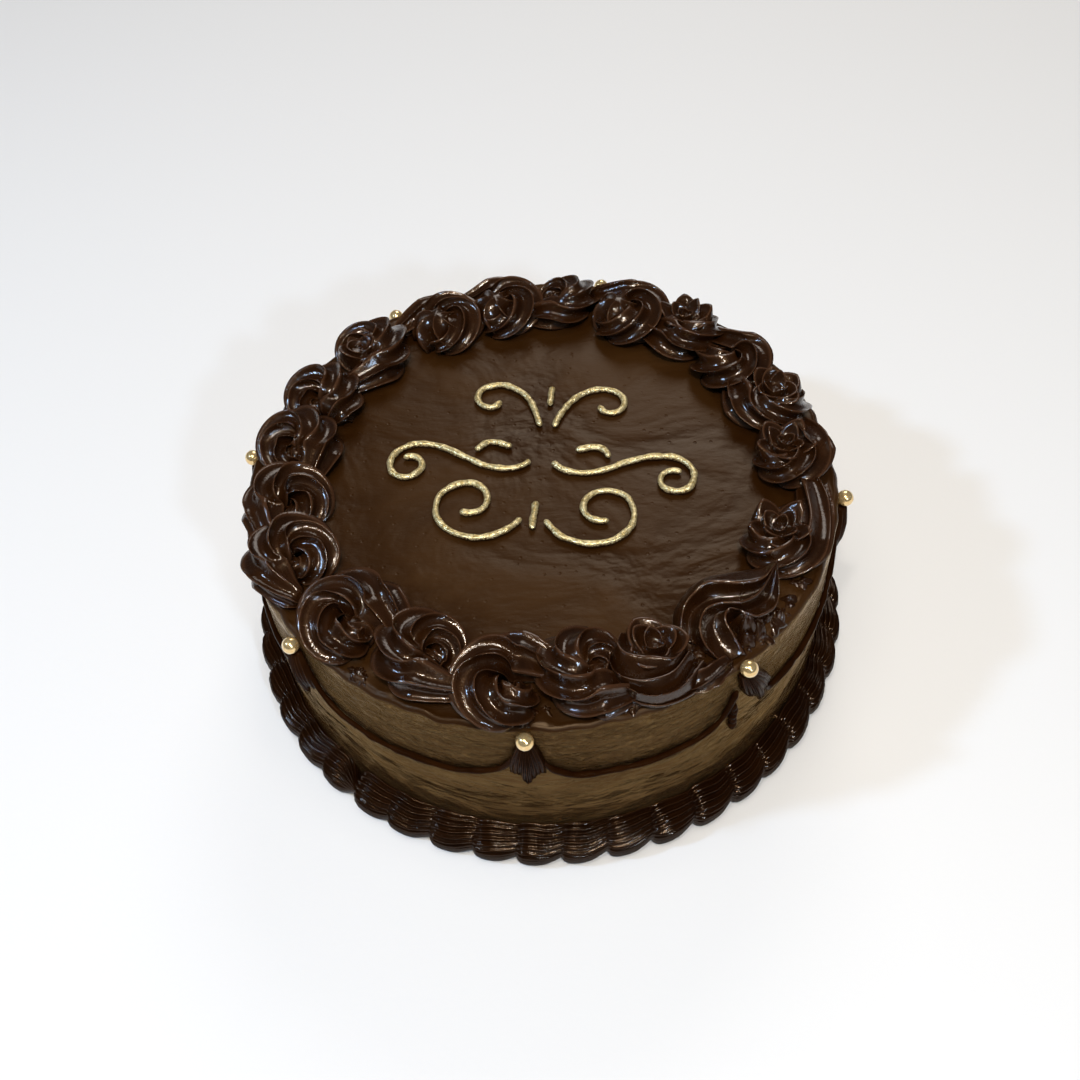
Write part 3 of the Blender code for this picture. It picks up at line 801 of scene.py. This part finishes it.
def crown_rings(radius, height, petals, dip, seed, turn):
    """Sections of a cup of petals, where a rope starts with its star open, and its ridge shares."""
    rng = np.random.default_rng(seed)
    phase = rng.uniform(0, 6)
    lows = rng.uniform(0.0, 0.20, petals)
    places = circle(CROWN_COLUMNS)
    at = places * petals / (2 * math.pi)
    near = np.abs(2 * (at % 1.0) - 1)
    petal = 1 - (1 - near) ** 1.2
    own = 1 - lows[np.round(at).astype(int) % petals] * petal
    levels = []
    for share, level, drop in CROWN:
        size = radius * share * (1 - 0.20 * (1 - petal) * (0.4 + level) + 0.10 * petal * level**3)
        z = height * own * (level - dip * drop * (1 - petal))
        angle = places + phase + turn * 0.8 * level
        levels.append(round_points(size, angle, z))
    # The lips get a ridge share, so they are coloured lighter: partly their own tone, partly painted
    # highlight.
    lip = np.array([[max(0.0, 1 - abs(level - 1) * 12) for _, level, _ in CROWN]]).T
    return np.array(levels), lip * np.ones((1, len(places)))


def bud_rings(radius, height, phase, turn):
    """Sections of a ribbed dome, the end of a rope that stands up in the eye, and its ridge shares."""
    places, high = star_section()
    levels = []
    for share, level in BUD:
        size = radius * share * (1 - 0.34 * (1 - high))
        angle = places + phase + turn * 0.9 * level
        levels.append(round_points(size, angle, height * level))
    return np.array(levels), np.tile(high, (len(BUD), 1))


def make_rope(middle, radius, spec, turn, seed):
    """Sections of a coiled rope and its ridge shares, in its rosette's own plan."""
    limit = (TOP_LIMIT - DRUM_HEIGHT) / MM - 0.2
    line, at = resample(np.concatenate([middle, radius[:, None]], axis=1))
    middle = line[:, :2]
    radius = line[:, 2] * (1 + 0.035 * wobble(len(line), 6, seed))
    radius *= np.sqrt(np.clip(at / 2.5, 0.01, 1)) * np.sqrt(np.clip((at[-1] - at) / 3.0, 0.01, 1))
    behind = smooth(2, 12, spec["eye"][0] - middle[:, 0])
    height = 0.76 * SQUASH * radius + 1.1 * behind
    return rope_rings(middle, height, radius, -turn, spec["phase"] or seed * 0.37 % 1, seed, limit)


def curve_through(marks, count):
    """A smooth line through the given points."""
    marks = np.array(marks)
    marks = np.concatenate([[2 * marks[0] - marks[1]], marks, [2 * marks[-1] - marks[-2]]])
    at = np.linspace(1, len(marks) - 2.0001, count)
    index = at.astype(int)
    share = (at - index)[:, None]
    a, b, c, d = (marks[index + k] for k in (-1, 0, 1, 2))
    return b + 0.5 * share * (c - a + share * (2 * a - 5 * b + 4 * c - d + share * (3 * (b - c) + d - a)))


def fin_rings(lines, bends, seed):
    """Sections of a scroll through its fins and the hollows between them, and its ridge shares."""
    runs = [curve_through(line, FIN_SECTIONS) for line in lines]
    settled = smooth(0, 20, np.arange(FIN_SECTIONS)[::-1])
    for k in (1, 3, 5):
        runs[k][:, 2] += 0.25 * wobble(FIN_SECTIONS, 14, seed + k) * settled
    foot = runs[0] * (1.0, 1.0, 0.0)
    columns = [foot, foot + np.array([0.0, -0.3, 0.5]) * runs[0][:, 2:3]]
    high = [0.0, 0.0]
    for k, bend in enumerate(bends):
        for share in np.arange(FIN_STEPS) / FIN_STEPS:
            rise = share**bend if bend > 0 else 1 - (1 - share) ** -bend
            point = runs[k] * (1 - share) + runs[k + 1] * share
            point[:, 2] = runs[k][:, 2] * (1 - rise) + runs[k + 1][:, 2] * rise
            columns.append(point)
            climb = share**4 if k else 0.5 * share**4
            high.append((1 - share) ** 4 if k % 2 else climb)
    for share in (0.0, 0.25, 0.5, 0.75):
        columns.append(runs[-1] * (1 - share) + foot * share)
        high.append(0.0)
    return np.stack(columns, axis=1), np.tile(high, (FIN_SECTIONS, 1))


def nested_rings(lines, seed):
    """Sections of a swirl across its bands, and its ridge shares."""
    runs = [curve_through(line, NESTED_SECTIONS) for line in lines]
    columns = []
    high = []
    for k, depth in enumerate(NESTED_DEPTHS):
        low, up = runs[k], runs[k + 1]
        if k:
            low[:, 2] += 0.25 * wobble(NESTED_SECTIONS, 12, seed + k)
        for share, drop in NESTED_DROP:
            columns.append(low * (1 - share) + up * share - (0.0, 0.0, depth * drop))
            edge = max(0.0, 1 - share / 0.14) if k else 0.0
            high.append(max(edge, 0.5 * (share > 0.8 and depth > 0)))
    columns += [runs[-1], runs[-1] * (1.0, 1.0, 0.0)]
    rings = np.stack(columns, axis=1)
    rings[:, :, 2] = np.maximum(rings[:, :, 2], 0.0)
    return rings, np.tile([*high, 0.0, 0.0], (NESTED_SECTIONS, 1))


def faced_out(points, faces):
    """The same faces, all turned over if they enclose their points inside out."""
    corners = [face[:3] for face in faces] + [(face[0], *face[2:]) for face in faces if len(face) == 4]
    first, second, third = (points[list(column)] for column in zip(*corners))
    volume = np.sum(first * np.cross(second, third))
    return faces if volume > 0 else [face[::-1] for face in faces]


def make_rosette(number, angle, ring, turn, changes, look):
    """A rosette with what stands in its eye, built in its own plan and then set on the cake."""
    spec = {**ROSETTE, **COILS[turn], **changes}
    seed = 100 + 17 * number
    eye = np.array([*spec["eye"], 0.0])
    if spec["fins"]:
        grids = [fin_rings(spec["fins"], SPIKED_BENDS, seed)]
    elif spec["nested"]:
        tail = curve_through(NESTED_TAIL, 60)
        grids = [nested_rings(spec["nested"], seed), make_rope(tail[:, :2], tail[:, 2], spec, turn, seed)]
    else:
        grids = [make_rope(*coil_path(spec, turn), spec, turn, seed)]
    standing = [crown_rings(*cup, seed + k, turn) for k, cup in enumerate(spec["crown"])]
    if spec["bud"]:
        standing.append(bud_rings(*spec["bud"], seed, turn))
    grids += [(rings + eye, ridge) for rings, ridge in standing]
    turned = math.radians(angle)
    outward = np.array([math.cos(turned), math.sin(turned), 0.0])
    forward = np.array([-outward[1], outward[0], 0.0])
    axes = np.stack([forward, outward, [0.0, 0.0, 1.0]])
    origin = outward * ring + (0.0, 0.0, DRUM_HEIGHT / MM)
    points = []
    ridges = []
    faces = []
    first = 0
    for rings, ridge in grids:
        some, more = capped_grid(origin + rings @ axes)
        faces += [tuple(first + k for k in face) for face in faced_out(some - origin, more)]
        points.append(some)
        ridges.append(with_ends(ridge))
        first += len(some)
    shares = {"ridge": np.concatenate(ridges)}
    rosette = mesh_object(f"piped_rosette_{number:02d}", np.concatenate(points) * MM, faces, look, shares)
    place(rosette, f"rosette_{number:02d}")


# ---- base border

SHELLS = 44
SHELL_START = -131.0
SHELL_PITCH = 360 / SHELLS
SHELL_RIBS = 23
RIB_DEPTH = 0.19  # over the shell's radius
# The ridge share colours the rib crests lighter: partly their own tone, partly painted highlight.
RIB_SHARE = 0.84  # ridge share on top of a rib
SHELL_MIDDLE = 118.4  # ring radius of the border's middle line, mm
SHELL_LEVEL = 8.1  # and its height
SHELL_HALF_WIDTH = 9.1
SHELL_HALF_HEIGHT = 12.4
SHELL_TOP = 20.7
# Share of the pitch from a shell's head, and its size there
SHELL_SWELL = (
    (-0.12, 0.34), (-0.06, 0.72), (0.0, 0.88), (0.08, 0.96), (0.2, 1.0), (0.38, 1.0), (0.58, 0.955),
    (0.8, 0.86), (1.0, 0.76), (1.18, 0.62),
)


def shell_columns():
    """Section angles of a shell, closer together where the ribs show than by the wall and the floor."""
    step = 2 * math.pi / SHELL_RIBS
    angles = []
    for rib in range(SHELL_RIBS):
        shows = -0.8 < (rib * step + math.pi) % (2 * math.pi) - math.pi < 1.9
        parts = 6 if shows else 2
        angles += [step * (rib + part / parts) for part in range(parts)]
    return np.array(angles)


def shell_rings(shell, grow, lean, phi):
    """Sections of one shell, and its ridge shares. The last shell closes where the first began."""
    rib = np.abs(np.sin(phi * SHELL_RIBS / 2)) ** 0.7
    last = shell == SHELLS - 1
    stations = np.concatenate([np.linspace(-0.12, 0.1, 7), np.linspace(0.16, 1.18, 15)])
    rings = []
    for at in stations:
        size = grow * np.interp(at, *zip(*SHELL_SWELL))
        close = smooth(0.45, 1.02, at) if last else 0.0
        size *= 1 - 0.92 * close
        tail = smooth(0.5, 1.1, at)
        depth = RIB_DEPTH * min(1.0, size + 0.1) * (1 - 0.25 * tail)
        section = size * (1 - depth * rib)
        wave = 0.05 * math.sin(5 * at + 1.7 * shell)
        r = SHELL_MIDDLE - 0.8 * tail + 5.0 * close + SHELL_HALF_WIDTH * section * np.cos(phi + wave)
        z = SHELL_LEVEL + 1.2 * tail - 3.0 * close + SHELL_HALF_HEIGHT * section * np.sin(phi + wave)
        z = np.clip(z, 0.1, SHELL_TOP)
        turn = math.radians(SHELL_START + SHELL_PITCH * (shell + at + lean))
        rings.append(round_points(r, turn, z) * MM)
    return np.array(rings), with_ends(np.tile(RIB_SHARE * (1 - rib), len(stations)))


def make_border(look):
    """Ribbed shells piped anticlockwise round the foot, each over the tail of the one before."""
    rng = np.random.default_rng(7)
    columns = shell_columns()
    shells = [
        shell_rings(shell, 1 + rng.uniform(-0.03, 0.015), rng.uniform(-0.05, 0.05), columns)
        for shell in range(SHELLS)
    ]
    points, faces = joined_grids(rings for rings, _ in shells)
    ridge = np.concatenate([ridge for _, ridge in shells])
    border = mesh_object("shell_border", points, faces, look, {"ridge": ridge})
    place(border, "base_border")


# ---- tassels and pearls

TASSEL_ROWS = 26
TASSEL_COLUMNS = 60
TASSEL_HALF_WIDTH = 6.5  # at its foot, mm
TASSEL_DEPTH = 4.6
TASSEL_RAGGED = 1.2  # how uneven its strands end, mm
TASSEL_SHORT = 8.0  # how much shorter its outer strands are than those in the middle, mm
PEARL_ROWS = 24
PEARL_COLUMNS = 40


def make_tassel(number, angle, look):
    """A bunch of piped strands on the wall, from under its pearl to a pointed foot."""
    rng = np.random.default_rng(300 + number)
    low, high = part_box(f"tassel_{number}")
    top = high.z / MM
    foot = low.z / MM + TASSEL_RAGGED
    lean = TASSEL_LEAN if number == LEANING_TASSEL else rng.uniform(-0.4, 0.4)
    across = np.linspace(-1, 1, TASSEL_COLUMNS)
    short = TASSEL_SHORT * (1 - np.exp(-(across / 0.32) ** 2))
    uneven = TASSEL_RAGGED * wobble(TASSEL_COLUMNS, 9, 330 + number)
    rings = []
    ridges = []
    for drop in np.arange(TASSEL_ROWS) / (TASSEL_ROWS - 1):
        height = top + (foot + short - top) * drop + uneven * smooth(0.6, 1.0, drop)
        half = TASSEL_HALF_WIDTH * (0.42 + 0.58 * math.sin(0.5 * math.pi * min(1.0, 1.25 * drop)))
        depth = TASSEL_DEPTH * math.sin(math.pi * (0.22 + 0.62 * drop))
        depth *= 1 - 0.5 * smooth(0.93, 1.0, drop)
        ribs = np.abs(np.sin(across * math.pi * 4.5 + 0.6 * drop)) ** 0.8
        swell = 0.3 + (depth - 0.3) * np.sqrt(np.clip(1 - across**2, 0, 1)) * (1 - 0.22 * ribs)
        turn = np.radians(angle + lean * drop) + across * half / (DRUM_REACH + 0.3)
        front = round_points(DRUM_REACH + swell, turn, height)
        back = round_points(DRUM_REACH - 0.4, turn, height)
        rings.append(np.concatenate([front, back[::-1]]) * MM)
        ridges.append(np.concatenate([1 - ribs, 0 * ribs]))
    points, faces = capped_grid(np.array(rings))
    tassel = mesh_object(f"icing_tassel_{number}", points, faces, look, {"ridge": with_ends(ridges)})
    place(tassel, f"tassel_{number}")


def make_pearl(number, look):
    """A ball that fills its node's box."""
    low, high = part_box(f"pearl_{number}")
    centre = (low + high) / 2
    radius = (high.z - low.z) / 2
    turn = circle(PEARL_COLUMNS)
    rings = []
    for tilt in np.radians(np.linspace(4, 176, PEARL_ROWS)):
        rings.append(np.array(centre) + radius * round_points(np.sin(tilt), turn, np.cos(tilt)))
    points, faces = capped_grid(np.array(rings))
    pearl = mesh_object(f"sugar_pearl_{number}", points, faces, look)
    place(pearl, f"pearl_{number}")


# ---- gilded scrolls

# Start (right, back) in mm, heading in degrees, length in mm, bend there and at the end in degrees a
# mm, and how late it changes; each of these is piped twice, mirrored
SCROLLS = {
    "crest": ((2.8, 24.0), 76, 60, -0.8, -14.5, 1.8),
    "vine": ((4.5, 5.0), -56, 98, 5.6, -12.6, 1.0),
    "comma": ((13.0, 11.5), 30, 17, -1.0, -13.0, 1.0),
    "base": ((4.5, -25.0), -62, 92, 2.8, 9.6, 2.2),
}
DROPS = {  # straight ones in the middle
    "crest_drop": ((0.0, 36.0), 90, 11, 0.0, 0.0, 1.0),
    "pendant": ((0.0, -16.0), -90, 14, 0.0, 0.0, 1.0),
}
SCROLL_TILT = -9.0  # degrees
SCROLL_RADIUS = 1.35  # mm
SCROLL_SQUASH = 0.95  # its height over its width
SCROLL_STEP = 0.45  # mm
SCROLL_COLUMNS = 16
SCROLL_END = 1.1  # length of a rounded end, mm


def scroll_line(start, heading, length, bend_in, bend_out, ease):
    """A line whose bend changes along it, in mm."""
    count = int(length / SCROLL_STEP)
    share = (np.arange(count) + 0.5) / count
    bend = np.radians(bend_in + (bend_out - bend_in) * share**ease)
    direction = math.radians(heading) + np.cumsum(bend * SCROLL_STEP)
    moves = np.stack([np.cos(direction), np.sin(direction)], axis=1) * SCROLL_STEP
    return np.array(start) + np.concatenate([[[0.0, 0.0]], np.cumsum(moves, axis=0)])


def make_scroll(name, line, mirrored, seed, look):
    """A gilded strand along a line, a little uneven in its width and course."""
    line = line * (-1.0 if mirrored else 1.0, 1.0)
    tilt = math.radians(SCROLL_TILT)
    turned = line @ np.array([[math.cos(tilt), math.sin(tilt)], [-math.sin(tilt), math.cos(tilt)]])
    count = len(turned)
    along = np.gradient(turned, axis=0)
    along /= np.linalg.norm(along, axis=1, keepdims=True)
    across = np.stack([-along[:, 1], along[:, 0]], axis=1)
    at = np.arange(count) * SCROLL_STEP
    ends = np.clip(at / SCROLL_END, 0.03, 1) * np.clip((at[-1] - at) / SCROLL_END, 0.03, 1)
    radius = SCROLL_RADIUS * (1 + 0.17 * wobble(count, max(4, count // 6), seed)) * np.sqrt(ends)
    turned = turned + across * (0.26 * wobble(count, max(4, count // 12), seed + 1))[:, None]
    phi = circle(SCROLL_COLUMNS)
    plan = turned[:, None, :] + (radius[:, None] * np.cos(phi))[:, :, None] * across[:, None, :]
    z = 0.05 + SCROLL_SQUASH * SCROLL_RADIUS + radius[:, None] * np.sin(phi) * SCROLL_SQUASH
    points, faces = capped_grid(np.concatenate([plan, z[:, :, None]], axis=2))
    world = points * MM + (0, 0, DRUM_HEIGHT - 0.2 * MM)
    upper = with_ends(np.tile(0.5 + 0.5 * np.sin(phi), count), 0.5)
    scroll = mesh_object(f"gilded_{name}", world, faces, look, {"upper": upper})
    place(scroll, f"scroll_{name}")


def make_ornament(look):
    """The mirrored scrolls and the drops between them."""
    seed = 500
    for name, facts in SCROLLS.items():
        line = scroll_line(*facts)
        for word, mirrored in (("right", False), ("left", True)):
            seed += 3
            make_scroll(f"{name}_{word}", line, mirrored, seed, look)
    for name, facts in DROPS.items():
        seed += 3
        make_scroll(name, scroll_line(*facts), False, seed, look)


# ---- the whole cake

def main():
    make_camera()
    make_stage()
    piped = piped_look("piped_ganache", shade=0.74, coat=0.62, level=0.22, rough=0.24)
    # The border's ganache is the piped ganache darkened: painted shade for the foot of the cake.
    border = piped_look("shaded_border_ganache", shade=0.46, coat=0.18, level=0.25, rough=0.12)
    strand = piped_look("strand_ganache", shade=0.75, coat=0.0, level=0.02, rough=0.12)
    make_body(wall_look(), top_look())
    make_broken(piped)
    make_strings(strand)
    for number, (angle, ring, turn, changes) in enumerate(ROSETTES, start=1):
        make_rosette(number, angle, ring, turn, changes, piped)
    make_border(border)
    for number, angle in enumerate(PEARL_ANGLES, start=1):
        make_tassel(number, angle, strand)
    pearl = pearl_look()
    for number in range(1, len(PEARL_ANGLES) + 1):
        make_pearl(number, pearl)
    make_ornament(gilt_look())


main()
